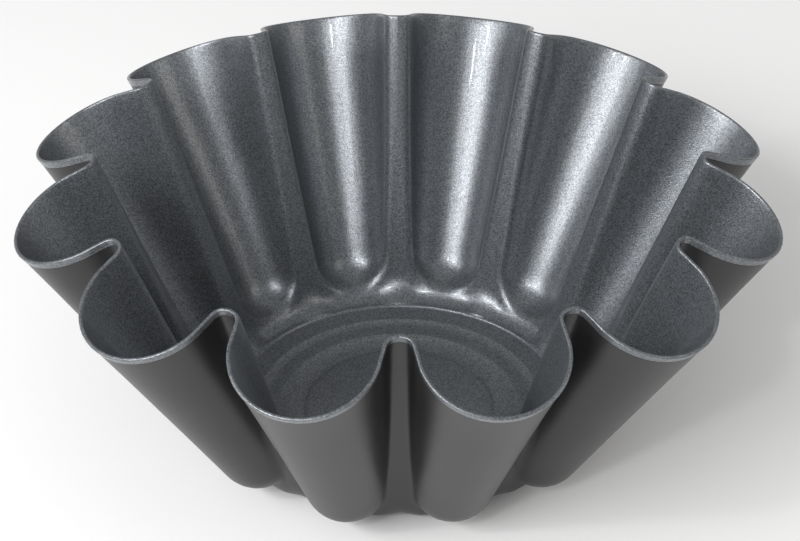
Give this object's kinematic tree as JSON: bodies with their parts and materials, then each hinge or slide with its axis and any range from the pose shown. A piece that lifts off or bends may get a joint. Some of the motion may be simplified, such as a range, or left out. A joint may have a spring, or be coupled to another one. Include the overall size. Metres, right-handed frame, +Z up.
{
  "type": "bundt pan",
  "caption": "Fluted round baking pan pressed from one steel sheet, flaring from a stepped flat base to a wavy trimmed rim, with non-stick coatings inside and out.",
  "frame": {"origin": "centre of the resting face, at the bottom centre of the bounding box", "axes": "+Z up along the pan's axis through the open mouth; +X and +Y each pass over a valley between two flutes"},
  "size_m": [0.212, 0.212, 0.0905],
  "materials": {
    "steel": "drawn sheet",
    "speckled_nonstick": "semi-gloss dark blue-grey with fine metallic speckle",
    "outer_lacquer": "smooth matt charcoal"
  },
  "bodies": {
    "root": {"steel_shell": "steel", "inner_coating": "speckled_nonstick", "outer_coating": "outer_lacquer", "base_coating": "outer_lacquer"}
  },
  "joints": []
}
